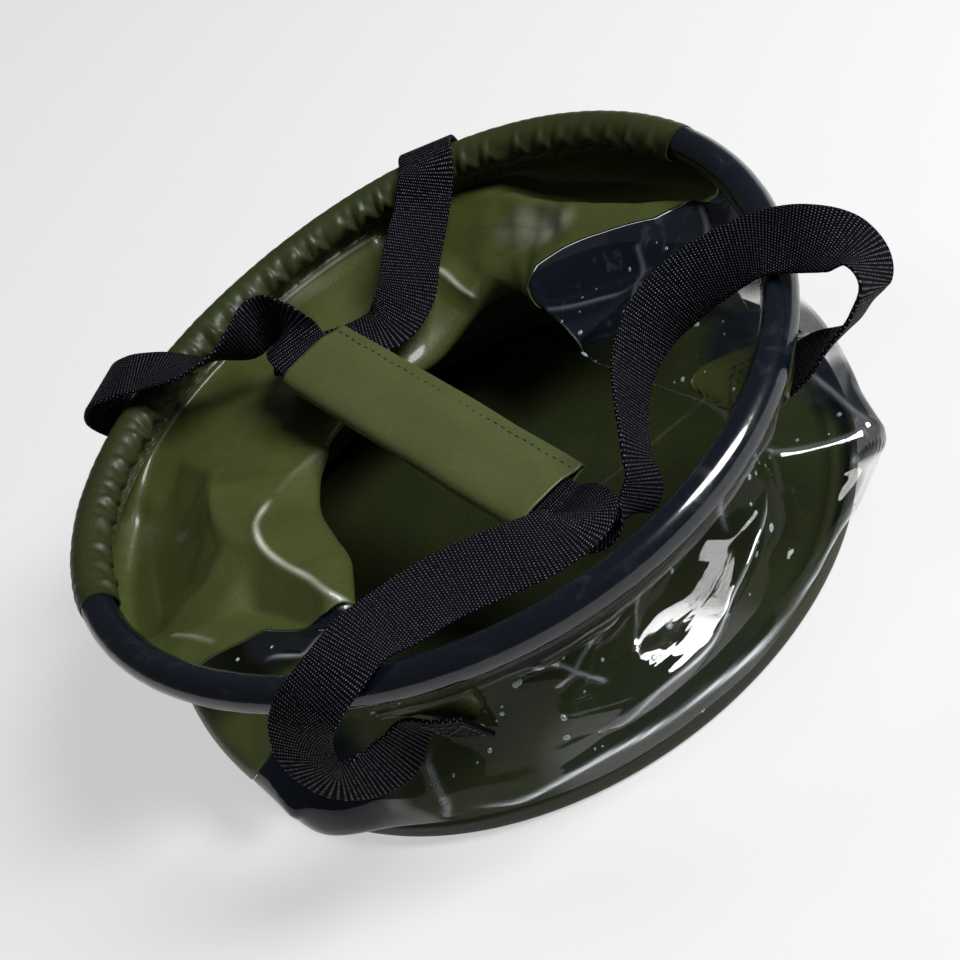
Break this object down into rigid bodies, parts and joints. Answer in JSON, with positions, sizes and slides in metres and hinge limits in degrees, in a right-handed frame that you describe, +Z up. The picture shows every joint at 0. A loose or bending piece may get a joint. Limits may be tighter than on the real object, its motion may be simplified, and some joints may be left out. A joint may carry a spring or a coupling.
{
  "type": "collapsible bucket",
  "caption": "Soft round collapsible bucket, folded half down, with an olive back, a clear front, a stiff rim hoop and webbing straps that meet in a wrapped carrying grip.",
  "frame": {"origin": "centre of the underside of the round base", "axes": "+Z up out of the bucket's mouth; the clear panel faces -Y and the olive half faces +Y"},
  "size_m": [0.3106, 0.31, 0.1162],
  "materials": {
    "olive_cloth": "coated cloth, satin to glossy, olive green",
    "olive_base": "coated cloth, satin, dark olive",
    "clear_sheet": "clear soft sheet, glossy, creased",
    "black_hoop": "black, satin to glossy",
    "black_webbing": "ribbed black webbing, matte",
    "black_thread": "black sewing thread, matte"
  },
  "bodies": {
    "base": {"base_panel": "olive_base", "wall_olive": "olive_cloth", "wall_clear": "clear_sheet"},
    "rim": {"rim_hoop": "black_hoop", "rim_hem_olive": "olive_cloth", "rim_hem_clear": "clear_sheet", "patch_back_right": "olive_cloth", "patch_back_left": "olive_cloth", "patch_front_right": "olive_cloth", "patch_front_left": "olive_cloth", "box_stitch_back_right": "black_thread", "box_stitch_back_left": "black_thread", "box_stitch_front_right": "black_thread", "box_stitch_front_left": "black_thread", "strap_leg_back_right": "black_webbing", "strap_leg_back_left": "black_webbing", "strap_leg_front_right": "black_webbing", "strap_leg_front_left": "black_webbing"},
    "handle": {"strap_core_upper": "black_webbing", "strap_core_lower": "black_webbing", "grip_wrap": "olive_cloth", "grip_stitch": "black_thread"}
  },
  "joints": [
    {"name": "collapse", "type": "slide", "parent": "base", "child": "rim", "axis": [0, 0, 1], "range_m": [-0.033, 0.108], "deforming": ["wall_olive", "wall_clear"]},
    {"name": "handle_lift", "type": "slide", "parent": "rim", "child": "handle", "axis": [0, 0, 1], "range_m": [0, 0.16], "deforming": ["strap_leg_back_right", "strap_leg_back_left", "strap_leg_front_right", "strap_leg_front_left"]}
  ]
}
